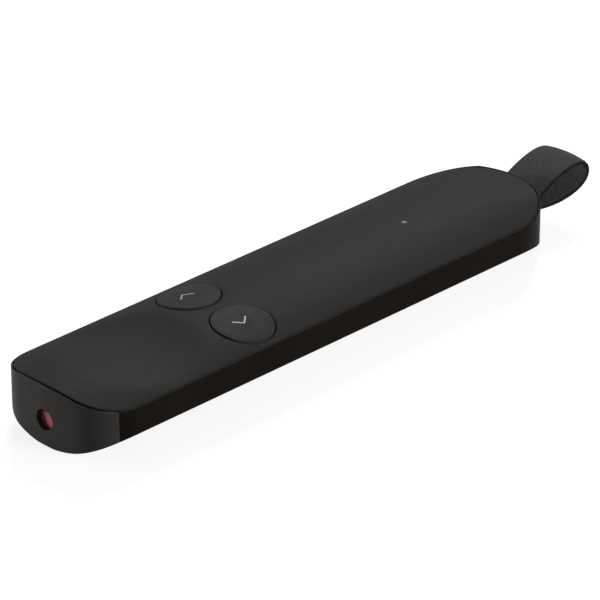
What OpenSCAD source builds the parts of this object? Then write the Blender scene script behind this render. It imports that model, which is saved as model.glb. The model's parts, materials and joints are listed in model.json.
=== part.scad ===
// Handheld presentation clicker: crowned top cover with a finger dish and two
// round keys, a belly-bottomed lower shell, a nose cap with a laser aperture,
// and a USB receiver that slides out of the rear on a short webbing strap.
// Millimetres. +Y runs from the nose to the strap, +Z is up, the part rests at z = 0.

/* [Body] */
// Width of the body
body_w = 30; // [28:0.5:34]
// Length of the body, nose to rear, without the strap
body_l = 124.2; // [112:0.1:140]
// Height of the cover seam along the sides
seam_h = 10; // [9.8:0.1:12]
// Rise of the crowned cover above its seam
crown_rise = 2.46; // [2:0.1:4]
// Height at which the side walls turn into the belly
belly_edge_h = 4.8; // [4:0.1:5]
// Width of the flat strip that the belly rests on
rest_w = 4; // [3:0.5:12]
// Corner radius of the nose, seen from above
nose_corner_r = 9.1; // [6:0.1:11]
// Bulge of the nose face at its middle
nose_bulge = 2.14; // [1:0.1:4]
// Fall of the cover's top at the rear end
rear_fall = 0.8; // [0.3:0.1:1.4]
// Length over which the cover's top falls
rear_fall_l = 27; // [15:1:40]

/* [Shells] */
// Wall of the lower shell and of the nose cap
shell_wall = 1.3; // [1:0.1:1.6]
// Thickness of the belly
floor_t = 1.2; // [0.9:0.1:1.4]
// Thickness of the top cover
cover_wall = 1.3; // [1:0.1:1.5]
// Thickness of the thin rim that frames the cover
rim_t = 0.4; // [0.3:0.05:0.6]
// Height of the cover's edge below the seam
cover_edge_h = 1; // [0.8:0.1:1.2]
// Gap between the cover and the rim
cover_gap = 0.06; // [0.03:0.01:0.1]
// Depth of the nose cap, front to seam
nose_cap_l = 5.5; // [5.4:0.1:8]
// Gap at the nose cap's seam
nose_gap = 0.08; // [0.04:0.02:0.15]
// Length of the spigot that plugs the nose cap into the shell
spigot_l = 2; // [1.5:0.1:3]
// Wall of that spigot
spigot_wall = 0.8; // [0.6:0.1:1]
// Clearance between pieces that are placed inside one another
fit_gap = 0.1; // [0.05:0.01:0.15]

/* [Snap hooks] */
// Width of a snap hook of the cover
hook_w = 4; // [2:0.5:6]
// Thickness of a hook's leg
hook_t = 0.65; // [0.5:0.05:0.8]
// How far a hook bites into the shell's wall
hook_bite = 0.35; // [0.2:0.05:0.5]
// Height of a hook's nose
hook_nose_h = 0.6; // [0.4:0.1:0.8]
// Distance of the front hooks from the nose
hook_front_y = 30; // [28:0.5:33]
// Distance of the middle hooks from the nose
hook_mid_y = 62; // [58:0.5:70]
// Distance of the rear hooks from the start of the round rear end
hook_rear_in = 21.2; // [15:0.1:25]

/* [Finger dish and keys] */
// Radius of the finger dish
dish_r = 13.4; // [10:0.1:13.8]
// Depth of the finger dish
dish_depth = 1.1; // [0.5:0.1:1.3]
// Width of the thickened ring round the dish
dish_margin = 0.5; // [0.4:0.05:0.6]
// Distance of the dish's middle from the nose
dish_y = 21.6; // [20:0.1:22]
// Gap between the two keys
key_split = 2.44; // [1:0.02:3]
// Width of the cover between a key and the cover's edge
key_margin = 1.32; // [0.7:0.02:2.5]
// Distance of the keys from the nose
key_y = 42.5; // [41:0.1:44]
// Gap round a key
key_gap = 0.24; // [0.08:0.01:0.3]
// How far a key stands above the cover
key_proud = 0.25; // [0:0.05:0.4]
// Travel of a key
key_travel = 0.5; // [0.3:0.05:0.6]
// Thickness of a key's skirt
key_skirt = 1; // [0.7:0.1:1.3]
// Height of a pressed key's skirt above the seam's ledge
key_room = 0.2; // [0.1:0.05:0.3]
// Reach of a key's retaining tabs under the cover
key_tab = 1.3; // [0.8:0.1:1.5]
// Width of a retaining tab
key_tab_w = 3; // [2:0.1:4]
// Height of a retaining tab
key_tab_h = 0.8; // [0.6:0.1:0.9]
// Radius of a key's stem
stem_r = 1.3; // [1:0.1:1.6]

/* [Indicator] */
// Distance of the indicator light from the rear end
led_rear = 31.6; // [30:0.1:38]
// Radius of the light pipe
pipe_r = 0.55; // [0.4:0.05:0.8]
// Radius of the light pipe's collar
pipe_collar_r = 1.1; // [0.9:0.1:1.5]
// Height of the pipe's collar
pipe_collar_h = 0.8; // [0.5:0.1:1.2]
// Width of the indicator chip
led_w = 1.6; // [1.2:0.1:2]
// Length of the indicator chip
led_l = 1; // [0.8:0.1:1.6]
// Height of the indicator chip
led_h = 0.55; // [0.4:0.05:0.8]

/* [Laser] */
// Gap between the laser barrel and the tray's floor
laser_gap = 0.11; // [0.08:0.01:0.2]
// Radius of the laser aperture
aperture_r = 2.1; // [1.5:0.05:2.4]
// Depth from the nose face to the window
window_set = 1; // [0.8:0.05:1.2]
// Thickness of the window
window_t = 0.9; // [0.6:0.05:1.2]
// Outer radius of the laser barrel
barrel_r = 3; // [2.7:0.05:3.05]
// Wall of the laser barrel
barrel_wall = 0.65; // [0.4:0.05:0.8]
// Length of the laser barrel
barrel_l = 11.5; // [10:0.1:13]
// Thickness of the collimating lens
lens_t = 1.6; // [1:0.1:2]
// Distance of the lens from the barrel's front
lens_set = 1.2; // [0.5:0.1:3]
// Length of the laser diode's can
diode_l = 3; // [2.5:0.1:4]
// Thickness of the rim of the diode's can
diode_rim_t = 1; // [0.6:0.1:1.4]
// Length of the diode's pins
diode_pin_l = 2.4; // [1:0.1:3]
// Wall of the nose boss round the barrel
nose_boss_wall = 0.7; // [0.5:0.05:0.8]
// Distance of the laser bracket from the tray's front
bracket_in = 1.4; // [0.5:0.1:2]
// Length of the laser bracket
bracket_l = 3.2; // [2:0.1:4]
// Width of the laser bracket
bracket_w = 10; // [9:0.1:12]
// Width of the laser's flex
flex_w = 4.4; // [3.4:0.1:6]
// Lap of the laser's flex on the board
flex_lap = 2.5; // [1:0.1:4]
// Height of the bracket above the barrel
bracket_rise = 0.6; // [0.4:0.1:0.8]

/* [Board and battery] */
// Thickness of the board
board_t = 1; // [0.8:0.1:1.1]
// Gap between the board and the side walls
board_gap = 0.7; // [0.6:0.05:1.2]
// Distance of the board's front edge from the nose
board_y = 19.5; // [19:0.1:20.5]
// Gap between the charging socket and the stored plug
socket_gap = 0.8; // [0.5:0.1:1.5]
// Wall of the chassis tray
tray_wall = 1.2; // [1:0.1:1.4]
// Thickness of the chassis tray's floor
tray_floor = 0.9; // [0.7:0.1:1]
// Width of the battery
battery_w = 13; // [10:0.1:14]
// Length of the battery
battery_l = 38; // [30:0.5:38]
// Height of the battery
battery_h = 2.8; // [2.2:0.1:2.9]
// Gap between the battery and the charging socket
battery_gap = 2; // [1:0.1:4]
// Thickness of the tray under the battery's edges
pocket_t = 0.55; // [0.4:0.05:0.7]
// Thickness of the foam between battery and board
pad_t = 0.3; // [0.2:0.05:0.4]
// Width of the battery's tabs
tab_w = 2; // [1:0.1:3]
// Distance between the middles of the two tabs
tab_pitch = 7; // [5:0.1:8]
// Thickness of a tab
tab_t = 0.15; // [0.1:0.01:0.2]
// Width of a key switch
switch_w = 4.5; // [3:0.1:5]
// Height of a key switch
switch_h = 1.8; // [1.5:0.05:1.85]
// Radius of a switch plunger
plunger_r = 0.8; // [0.6:0.05:1]
// Radius of the vibration motor
motor_r = 4; // [3:0.1:4]
// Height of the vibration motor
motor_h = 2.7; // [2:0.1:2.8]
// Size of the step round the motor's lid
motor_step = 0.4; // [0.2:0.1:0.6]
// Distance of the vibration motor from the nose
motor_y = 54; // [53.5:0.1:55.5]
// Radius of the touch sensor
sensor_r = 11; // [9:0.1:11.2]
// Thickness of the touch sensor
sensor_t = 0.4; // [0.2:0.05:0.5]
// Width of the touch sensor's ribbon
ribbon_w = 5; // [3:0.1:6]
// Thickness of the ribbon
ribbon_t = 0.15; // [0.1:0.01:0.2]
// Width of the radio shield
shield_w = 12; // [9:0.1:14]
// Length of the radio shield
shield_l = 11; // [9:0.1:14]
// Height of the radio shield
shield_h = 1.5; // [1:0.1:2]
// Distance of the radio shield's middle from the nose
shield_y = 66; // [64:0.1:70]
// Width of the chip antenna
antenna_w = 2; // [1:0.1:3]
// Length of the chip antenna
antenna_l = 7; // [5:0.1:9]
// Height of the chip antenna
antenna_h = 1; // [0.6:0.1:1.5]
// Radius of a frame screw's shank
screw_r = 0.7; // [0.6:0.05:0.8]
// Length of a frame screw under its head
screw_l = 5.2; // [4.6:0.1:5.3]
// Radius of a screw's head
screw_head_r = 1.4; // [1.2:0.1:1.5]
// Height of a screw's head
screw_head_h = 0.8; // [0.5:0.1:0.9]
// Wall round a screw's hole
screw_boss_wall = 1.1; // [0.8:0.1:1.3]
// Thickness of the tray between a screw's head and the board
screw_seat_t = 1.1; // [0.8:0.1:1.2]
// Distance of the front screws from the nose
screw_front_y = 54; // [52:0.1:55]
// Distance of the rear screws from the board's rear edge
screw_rear_in = 7.3; // [6:0.1:9]
// Distance of the screws from the body's sides
screw_in = 6.3; // [5.8:0.1:6.6]

/* [Receiver and strap] */
// Gap between the receiver's sleeve and the belly
sleeve_gap = 0.35; // [0.2:0.05:0.4]
// Width of the receiver's grip
grip_w = 15.4; // [14.6:0.1:16]
// Height of the receiver's grip
grip_h = 4.8; // [4.7:0.05:5]
// Length of the receiver's grip
grip_l = 6.6; // [6:0.1:7]
// Sheet thickness of the plug's shell
plug_sheet = 0.3; // [0.2:0.05:0.4]
// Wall of the receiver's sleeve
sleeve_wall = 0.8; // [0.6:0.05:0.85]
// Clearance round the receiver
receiver_gap = 0.15; // [0.1:0.01:0.2]
// Length of a retaining spring
spring_l = 8; // [6:0.1:10]
// Height of a retaining spring
spring_h = 2.6; // [2:0.1:3.2]
// Sheet thickness of a retaining spring
spring_sheet = 0.2; // [0.15:0.01:0.25]
// Width of the strap
strap_w = 10.7; // [9:0.1:11]
// Thickness of the webbing
strap_t = 0.8; // [0.6:0.05:1]
// Length of the strap's loop behind the body
loop_l = 15.5; // [13:0.1:18]
// Full height of the loop
loop_h = 6.7; // [6.4:0.05:8]
// Upward tilt of the loop
loop_tilt = 12; // [0:1:12]
// Height of the strap's slot above the receiver's middle
strap_rise = 0; // [0:0.05:0.4]
// Depth of the strap's doubled tail in the grip
tail_l = 4.7; // [4.2:0.1:5]
// Radius of the strap's pin
strap_pin_r = 0.7; // [0.5:0.05:0.9]

/* [Hidden] */
$fn = 96;

eps = 0.01;
past = 1;                         // how far a cutter runs past what it cuts
slip = 0.05;                      // clearance of a round piece in its bore
seat_gap = 0.02;                  // gap between pieces that are glued or pressed together
clear_hole = 0.15;                // clearance of a screw in a hole that it passes through
half_w = body_w / 2;
overall_l = body_l + loop_l;
nose_y = -overall_l / 2;          // the nose tip, in the part's frame
rear_y = nose_y + body_l;
rear_c = rear_y - half_w;         // middle of the round rear end
top_z = seam_h + crown_rise;

// crown, belly, nose and rear fall are arcs
crown_r = (half_w ^ 2 + crown_rise ^ 2) / (2 * crown_rise);
crown_c = top_z - crown_r;
belly_c = (half_w ^ 2 - (rest_w / 2) ^ 2 + belly_edge_h ^ 2) / (2 * belly_edge_h);
belly_r = sqrt(belly_c ^ 2 + (rest_w / 2) ^ 2);
nose_arc_r = (half_w ^ 2 + nose_bulge ^ 2) / (2 * nose_bulge);
nose_arc_c = nose_y + nose_arc_r;
corner_x = half_w - nose_corner_r;
corner_y = nose_arc_c - sqrt((nose_arc_r - nose_corner_r) ^ 2 - corner_x ^ 2);
fall_y = rear_y - rear_fall_l;
fall_r = (rear_fall_l ^ 2 + rear_fall ^ 2) / (2 * rear_fall);

ledge_z = seam_h - cover_edge_h;  // the cover's edge sits on the shell here
cover_in = rim_t + cover_gap;
cover_ring = cover_in + cover_wall;
nose_seam = nose_y + nose_cap_l;
led_y = rear_y - led_rear;

tray_side = shell_wall + fit_gap;
tray_under = floor_t + fit_gap;
tray_y0 = nose_seam + spigot_l + 5 * fit_gap;

// the battery lies in the tray, and the board on the battery's foam
battery_z = belly_z(battery_w / 2, tray_under) + pocket_t;
board_z = battery_z + battery_h + pad_t;
board_top = board_z + board_t;
board_x = half_w - shell_wall - board_gap;

// the finger dish is a saddle: hollow along the body, flatter than the crown across it
dish_along_r = dish_r ^ 2 / (2 * dish_depth);
dish_across_r = 1 / (1 / crown_r - 1 / dish_along_r);
dish_boss_r = dish_r + dish_margin;
sensor_z = min(top_z - dish_depth - cover_wall, crown_under(sensor_r) - seat_gap);
sensor_under = sensor_z - sensor_t;

key_r = (half_w - cover_in - key_margin - key_split / 2) / 2;
key_x = key_split / 2 + key_r;
key_under = ledge_z + key_travel + key_room;
tab_top = crown_under(key_x + key_tab_w / 2) - slip;
switch_top = board_top + switch_h;
plunger_top = switch_top + key_travel + slip;
plunger_sunk = 0.6;               // how deep the resting plunger sits in its switch
plunger_bottom = switch_top - plunger_sunk;

hook_rows = [nose_y + hook_front_y, nose_y + hook_mid_y, rear_c - hook_rear_in];
hook_z = board_top + 3 * fit_gap;

laser_z = belly_z(0, tray_under + tray_floor) + laser_gap + barrel_r;
laser_y = nose_y + window_set;    // front of the bore that holds window and barrel
barrel_y = laser_y + window_t + slip;
barrel_back = barrel_y + barrel_l;
barrel_bore_r = barrel_r - barrel_wall;
laser_bore_r = barrel_r + slip;
nose_boss_r = laser_bore_r + nose_boss_wall;
bracket_y = tray_y0 + bracket_in;
diode_pin_r = 0.22;
saddle_x = 0.8 * barrel_r;        // the saddle is open below the barrel
diode_pins_r = (barrel_bore_r - seat_gap) / 2;

// a USB-A plug has standard sizes
plug_w = 12;
plug_h = 4.5;
plug_l = 12;
plug_window = [2.2, 2.3];         // width and length of a latch window
plug_window_x = 2.85;
plug_window_y = 5.2;              // from the plug's mouth
contact_x = [-3.5, -1, 1, 3.5];
contact_w = 1.2;
contact_l = 8;                    // from the plug's mouth
insert_h = 1.9;
board_in_grip = 1.4;

// the receiver lies in its sleeve, and the sleeve on the belly
grip_y0 = rear_y - grip_l;
plug_y0 = grip_y0 - plug_l;
bay_w = grip_w + 2 * receiver_gap;
bay_h = grip_h + 2 * receiver_gap;
sleeve_bottom = belly_z(bay_w / 2 + sleeve_wall, floor_t) + sleeve_gap;
receiver_z = sleeve_bottom + sleeve_wall + bay_h / 2;
insert_z = receiver_z - plug_h / 2 + plug_sheet;
strap_z = receiver_z + strap_rise;
tail_y0 = rear_y - tail_l;
pin_y = tail_y0 + 0.4 * tail_l;
pin_z0 = receiver_z - grip_h / 2 + 0.6;

// a USB-C receptacle has standard sizes too; its mouth stands proud of the board
port_w = 8.9;
port_h = 3.2;
port_l = 7.3;
port_wall = 0.3;
port_proud = 1;
tongue = [6.6, 0.7];              // width and height
tongue_set = 0.8;                 // depth of its tip behind the mouth
port_y1 = plug_y0 - socket_gap;
port_y0 = port_y1 - port_l;
board_y0 = nose_y + board_y;
board_y1 = port_y1 - port_proud;
battery_y1 = port_y0 - battery_gap;
battery_y0 = battery_y1 - battery_l;

screw_x = half_w - screw_in;
screw_rows = [nose_y + screw_front_y, board_y1 - screw_rear_in];
screw_boss_r = screw_r + screw_boss_wall;
screw_seat_z = board_z - screw_seat_t;
screw_tip_z = screw_seat_z + screw_l;

ribbon_turn = (sensor_under - board_top - 0.5) / 2;
ribbon_y = nose_y + dish_y + sensor_r + 0.6;
ribbon_glued_l = 3;
ribbon_plug_l = 1.6;

// the strap's loop is a drop whose sides follow sin(t) * sin(t / 2) ^ drop_taper
drop_taper = 0.7;
drop_gain = sqrt(drop_taper + 2) / 2
    * ((drop_taper + 2) / (drop_taper + 1)) ^ ((drop_taper + 1) / 2);
loop_steps = 48;
loop_root_y = rear_y - strap_t;   // the loop opens just inside the body

// Height of the belly at a distance x from its middle, raised by an even amount.
function belly_z(x, raise) = belly_c - sqrt((belly_r - raise) ^ 2 - x ^ 2);

// ---------- outlines and envelopes ----------

// The body seen from above, drawn in by an even amount.
module plan(inset = 0) {
    translate([0, rear_c]) circle(r = half_w - inset);
    translate([inset - half_w, corner_y])
        square([body_w - 2 * inset, rear_c - corner_y]);
    for (side = [-1, 1]) translate([side * corner_x, corner_y])
        circle(r = nose_corner_r - inset);
    intersection() {
        translate([0, nose_arc_c]) circle(r = nose_arc_r - inset);
        polygon([[0, nose_arc_c],
            [-2 * corner_x, 2 * corner_y - nose_arc_c],
            [2 * corner_x, 2 * corner_y - nose_arc_c]]);
    }
}

module prism(inset, z0, z1) {
    translate([0, 0, z0]) linear_extrude(z1 - z0) plan(inset);
}

// Extrudes a profile drawn in X and Z from y0 to y1.
module along_y(y0, y1) {
    translate([0, y1, 0]) rotate([90, 0, 0]) linear_extrude(y1 - y0) children();
}

// Extrudes a profile drawn in Y and Z over a width centred on x.
module along_x(x, w) {
    translate([x - w / 2, 0, 0]) rotate([90, 0, 90]) linear_extrude(w) children();
}

// Everything under the crown, lowered by an even amount.
module under_crown(drop = 0) {
    difference() {
        along_y(nose_y - past, rear_y + past) intersection() {
            translate([0, crown_c]) circle(r = crown_r - drop);
            translate([-half_w - past, -past]) square([body_w + 2 * past, top_z + 2 * past]);
        }
        along_x(0, body_w + 4 * past) difference() {
            translate([fall_y, ledge_z - 2 * past])
                square([rear_fall_l + 2 * past, crown_rise + 3 * past]);
            translate([fall_y, top_z - fall_r]) circle(r = fall_r - drop);
        }
    }
}

// Everything above the belly, raised by an even amount, with no flat.
module over_belly(raise) {
    along_y(nose_y - past, rear_y + past) translate([0, belly_c]) circle(r = belly_r - raise);
}

// The whole outside of the body.
module body_outside() {
    intersection() {
        prism(0, 0, top_z + past);
        under_crown();
        over_belly(0);
    }
}

// The room inside the body, with its walls and floor drawn in.
module room(side, under, z1) {
    intersection() {
        prism(side, -past, z1);
        over_belly(under);
    }
}

module box(x0, x1, y0, y1, z0, z1) {
    translate([x0, y0, z0]) cube([x1 - x0, y1 - y0, z1 - z0]);
}

// A rod along Y.
module rod_y(r, y0, y1, x, z) {
    translate([x, y1, z]) rotate([90, 0, 0]) cylinder(r = r, h = y1 - y0);
}

module rod_z(r, z0, z1, x, y) {
    translate([x, y, z0]) cylinder(r = r, h = z1 - z0);
}

module at_screws() {
    for (side = [-1, 1], row = screw_rows)
        translate([side * screw_x, row, 0]) children();
}

module at_hooks() {
    for (side = [-1, 1], row = hook_rows)
        translate([0, row, 0]) mirror([side < 0 ? 1 : 0, 0, 0]) children();
}

// ---------- casing ----------

// Side walls, belly and rear end, with a ledge for the cover and a mouth for the receiver.
module lower_shell() {
    color([0.11, 0.095, 0.085]) difference() {
        body_outside();
        box(-half_w - past, half_w + past, nose_y - past, nose_seam + nose_gap / 2,
            -past, top_z + past);
        room(shell_wall, floor_t, ledge_z + eps);
        prism(rim_t, ledge_z, top_z + past);
        box(-bay_w / 2, bay_w / 2, rear_c, rear_y + past,
            receiver_z - bay_h / 2, receiver_z + bay_h / 2);
        at_hooks() hook_recess();
    }
}

module hook_recess() {
    box(half_w - shell_wall - past / 2, half_w - shell_wall + hook_bite + fit_gap,
        -hook_w / 2 - fit_gap, hook_w / 2 + fit_gap,
        hook_z - fit_gap, hook_z + hook_nose_h + fit_gap);
}

// A snap hook of the cover, for the wall on the +X side.
module snap_hook() {
    face = half_w - shell_wall - fit_gap;
    box(face - hook_t, face, -hook_w / 2, hook_w / 2, hook_z, ledge_z + cover_edge_h / 2);
    box(face - hook_t, face + hook_bite, -hook_w / 2, hook_w / 2, hook_z, hook_z + hook_nose_h);
}

// The front face and both front corners, with the laser aperture.
module nose_cap() {
    color([0.25, 0.24, 0.23]) difference() {
        union() {
            difference() {
                intersection() {
                    body_outside();
                    box(-half_w, half_w, nose_y, nose_seam - nose_gap / 2, 0, top_z);
                }
                room(shell_wall, floor_t, ledge_z + eps);
                prism(rim_t, ledge_z, top_z + past);
            }
            // spigot that plugs into the lower shell
            difference() {
                intersection() {
                    room(shell_wall + fit_gap / 2, floor_t + fit_gap / 2,
                        ledge_z - 2 * fit_gap);
                    box(-half_w, half_w, nose_seam - spigot_l, nose_seam + spigot_l, 0, top_z);
                }
                room(shell_wall + spigot_wall, floor_t + spigot_wall, ledge_z + eps);
            }
            // web between spigot and cap, inside the seam
            difference() {
                intersection() {
                    room(shell_wall - eps, floor_t - eps, ledge_z - 2 * fit_gap);
                    box(-half_w, half_w, nose_seam - spigot_l, nose_seam - nose_gap / 2, 0, top_z);
                }
                room(shell_wall + spigot_wall, floor_t + spigot_wall, ledge_z + eps);
            }
            rod_y(nose_boss_r, nose_y + shell_wall / 2, nose_seam + spigot_l / 2, 0, laser_z);
        }
        rod_y(aperture_r, nose_y - past, laser_y + past, 0, laser_z);
        rod_y(laser_bore_r, laser_y, nose_seam + spigot_l, 0, laser_z);
    }
}

// The crowned plate with the finger dish, the two key holes and the light pipe's hole.
module top_cover() {
    color([0.22, 0.22, 0.22]) difference() {
        union() {
            difference() {
                intersection() {
                    prism(cover_in, ledge_z, top_z + past);
                    under_crown();
                }
                intersection() {
                    prism(cover_ring, ledge_z - past, top_z);
                    under_crown(cover_wall);
                }
            }
            intersection() {
                rod_z(dish_boss_r, sensor_z, top_z, 0, nose_y + dish_y);
                prism(cover_in, ledge_z, top_z + past);
                under_crown(cover_wall / 2);
            }
            at_screws() rod_z(screw_boss_r, board_top, crown_under(screw_x) + cover_wall / 3, 0, 0);
            at_hooks() snap_hook();
        }
        finger_dish();
        for (side = [-1, 1])
            rod_z(key_r + key_gap, ledge_z - 2 * past, top_z + past,
                side * key_x, nose_y + key_y);
        rod_z(pipe_r + cover_gap, sensor_z - past, top_z + past, 0, led_y);
        at_screws() rod_z(screw_r, board_top - past, screw_tip_z + fit_gap, 0, 0);
    }
}

// Height of the cover's underside at a distance x from its middle.
function crown_under(x) = crown_c + sqrt((crown_r - cover_wall) ^ 2 - x ^ 2);

// The cutter of the finger dish: a big wheel with a waisted tread.
module finger_dish() {
    reach = half_w + past;
    intersection() {
        translate([0, nose_y + dish_y, top_z - dish_depth + dish_along_r])
            rotate([0, 90, 0]) rotate_extrude() difference() {
                translate([0, -reach]) square([dish_along_r + crown_rise + past, 2 * reach]);
                translate([dish_along_r + dish_across_r, 0]) circle(r = dish_across_r);
            }
        rod_z(dish_boss_r - fit_gap, sensor_z, top_z + past, 0, nose_y + dish_y);
    }
}

// ---------- keys and switches ----------

// A round key: its top follows the crown, tabs under the cover hold it in.
module key(side) {
    x = side * key_x;
    y = nose_y + key_y;
    color([0.24, 0.24, 0.24]) {
        difference() {
            intersection() {
                rod_z(key_r, key_under, top_z + past, x, y);
                under_crown(-key_proud);
            }
            intersection() {
                rod_z(key_r - key_skirt, key_under - past, top_z, x, y);
                under_crown(cover_wall);
            }
        }
        box(x - key_tab_w / 2, x + key_tab_w / 2, y - key_r - key_tab, y + key_r + key_tab,
            tab_top - key_tab_h, tab_top);
        rod_z(stem_r, plunger_top, crown_under(key_x) + cover_wall / 3, x, y);
    }
}

module back_button() { key(-1); }
module next_button() { key(1); }

module plunger(side) {
    color([0.75, 0.73, 0.68])
        rod_z(plunger_r, plunger_bottom, plunger_top, side * key_x, nose_y + key_y);
}

module back_plunger() { plunger(-1); }
module next_plunger() { plunger(1); }

// A tactile switch with the bore that its plunger sinks into.
module key_switch(side) {
    x = side * key_x;
    y = nose_y + key_y;
    s = switch_w / 2;
    color([0.15, 0.15, 0.16]) difference() {
        box(x - s, x + s, y - s, y + s, board_top, switch_top);
        rod_z(plunger_r + slip, plunger_bottom - key_travel - fit_gap, switch_top + past, x, y);
    }
}

module back_switch() { key_switch(-1); }
module next_switch() { key_switch(1); }

// ---------- laser ----------

module laser_window() {
    color([0.65, 0.12, 0.14, 0.8])
        rod_y(barrel_r, laser_y + seat_gap, laser_y + window_t, 0, laser_z);
}

module laser_barrel() {
    color([0.72, 0.58, 0.3]) difference() {
        rod_y(barrel_r, barrel_y, barrel_back, 0, laser_z);
        rod_y(barrel_bore_r, barrel_y - past, barrel_back + past, 0, laser_z);
    }
}

// A lens that is flat towards the window and domed towards the diode.
module collimating_lens() {
    r = barrel_bore_r - seat_gap;
    color([0.8, 0.85, 0.9, 0.6]) translate([0, barrel_y + lens_set, laser_z])
        rotate([-90, 0, 0]) rotate_extrude() intersection() {
            square([r, lens_t]);
            translate([0, lens_t - 2 * r]) circle(r = 2 * r);
        }
}

// The diode's can, its rim and its three pins.
module laser_diode() {
    rim_r = barrel_bore_r - seat_gap;
    rim_y = barrel_back - diode_rim_t;
    color([0.8, 0.75, 0.6]) {
        rod_y(0.78 * rim_r, barrel_back - diode_l, rim_y, 0, laser_z);
        rod_y(rim_r, rim_y, barrel_back, 0, laser_z);
        diode_pins(diode_pin_r);
    }
}

module diode_pins(r) {
    for (turn = [90, 210, 330])
        rod_y(r, barrel_back, barrel_back + diode_pin_l,
            diode_pins_r * cos(turn), laser_z + diode_pins_r * sin(turn));
}

// A saddle that holds the barrel down and stands in the chassis tray.
module laser_bracket() {
    color([0.3, 0.3, 0.32]) difference() {
        intersection() {
            box(-bracket_w / 2, bracket_w / 2, bracket_y,
                bracket_y + bracket_l, 0, laser_z + laser_bore_r + bracket_rise);
            room(tray_side, tray_under + tray_floor + fit_gap / 2, top_z);
        }
        rod_y(barrel_r + seat_gap, nose_y, 0, 0, laser_z);
        box(-saddle_x, saddle_x, nose_y, 0, 0, laser_z);
    }
}

// The flex that joins the diode's pins to the board: a plate on the pins and a tail.
module laser_flex() {
    w = flex_w / 2;
    plate_y = barrel_back + diode_pin_l / 2;
    color([0.7, 0.42, 0.15]) {
        difference() {
            box(-w, w, plate_y, plate_y + ribbon_t, laser_z - w, board_top + ribbon_t);
            diode_pins(diode_pin_r + seat_gap);
        }
        box(-w, w, plate_y, board_y0 + flex_lap, board_top, board_top + ribbon_t);
    }
}

// ---------- inside: chassis, board, battery ----------

// A thin tray that follows the belly, with ribs, screw posts and a pocket for the battery.
module chassis() {
    color([0.2, 0.2, 0.21]) difference() {
        intersection() {
            room(tray_side, tray_under, board_z);
            union() {
                difference() {
                    box(-half_w, half_w, tray_y0, port_y1, 0, board_z);
                    room(tray_side + tray_wall, tray_under + tray_floor, board_z + past);
                }
                for (y = [board_y0 + tray_wall, nose_y + key_y, screw_rows[0], screw_rows[1]])
                    box(-half_w, half_w, y, y + tray_wall, 0, board_z);
                at_screws() rod_z(screw_boss_r + fit_gap, 0, board_z, 0, 0);
            }
        }
        box(-battery_w / 2 - fit_gap, battery_w / 2 + fit_gap, battery_y0 - 2 * fit_gap,
            battery_y1 + fit_gap, battery_z - seat_gap, board_z + past);
        at_screws() {
            rod_z(screw_r + clear_hole, 0, board_z + past, 0, 0);
            rod_z(screw_head_r + clear_hole, 0, screw_seat_z, 0, 0);
        }
        port_notch(receiver_z - port_h / 2 - fit_gap, board_z + past);
    }
}

module main_board() {
    color([0.05, 0.22, 0.12]) difference() {
        box(-board_x, board_x, board_y0, board_y1, board_z, board_top);
        port_notch(board_z - past, board_top + past);
        at_screws() rod_z(screw_r + clear_hole, board_z - past, board_top + past, 0, 0);
    }
}

// The notch in tray and board that the charging socket sits in.
module port_notch(z0, z1) {
    box(-port_w / 2 - fit_gap, port_w / 2 + fit_gap, port_y0 - fit_gap, rear_y, z0, z1);
}

module battery_cell() {
    color([0.62, 0.64, 0.66])
        box(-battery_w / 2, battery_w / 2, battery_y0, battery_y1,
            battery_z, battery_z + battery_h);
}

// Foam between the battery and the board.
module battery_pad() {
    inset = 2;
    color([0.15, 0.15, 0.15])
        box(inset - battery_w / 2, battery_w / 2 - inset, battery_y0 + inset,
            battery_y1 - inset, battery_z + battery_h, board_z);
}

// Two nickel tabs that lead from the battery's front end up to the board.
module battery_tabs() {
    color([0.75, 0.75, 0.72]) for (x = [-tab_pitch / 2, tab_pitch / 2])
        box(x - tab_w / 2, x + tab_w / 2, battery_y0 - tab_t, battery_y0,
            battery_z + battery_h / 3, board_z);
}

module vibration_motor() {
    color([0.7, 0.7, 0.7]) {
        rod_z(motor_r, board_top, board_top + motor_h - motor_step, 0, nose_y + motor_y);
        rod_z(motor_r - motor_step, board_top, board_top + motor_h, 0, nose_y + motor_y);
    }
}

// The touch sensor that is glued under the dish.
module touch_sensor() {
    color([0.7, 0.45, 0.2]) rod_z(sensor_r, sensor_under, sensor_z, 0, nose_y + dish_y);
}

// A ribbon glued under the sensor that turns back to its connector.
module sensor_ribbon() {
    color([0.8, 0.5, 0.2]) along_x(0, ribbon_w) {
        translate([ribbon_y - ribbon_glued_l, sensor_under - ribbon_t])
            square([ribbon_glued_l, ribbon_t]);
        translate([ribbon_y - ribbon_plug_l, sensor_under - 2 * ribbon_turn])
            square([ribbon_plug_l, ribbon_t]);
        translate([ribbon_y, sensor_under - ribbon_turn]) intersection() {
            difference() {
                circle(r = ribbon_turn);
                circle(r = ribbon_turn - ribbon_t);
            }
            translate([0, -ribbon_turn]) square([ribbon_turn, 2 * ribbon_turn]);
        }
    }
}

module ribbon_connector() {
    z = sensor_under - 2 * ribbon_turn;
    w = ribbon_w / 2;
    wall = 0.8;
    mouth_y = ribbon_y - 0.6;
    depth = 2.6;
    color([0.85, 0.82, 0.74]) difference() {
        box(-w - wall, w + wall, mouth_y - depth, mouth_y, board_top, z + ribbon_t + wall / 2);
        box(-w - slip, w + slip, ribbon_y - ribbon_plug_l - slip, ribbon_y,
            z - slip, z + ribbon_t + slip);
    }
}

// The tinned lid over the radio's chip.
module radio_shield() {
    color([0.72, 0.73, 0.75])
        box(-shield_w / 2, shield_w / 2, nose_y + shield_y - shield_l / 2,
            nose_y + shield_y + shield_l / 2, board_top, board_top + shield_h);
}

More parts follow.
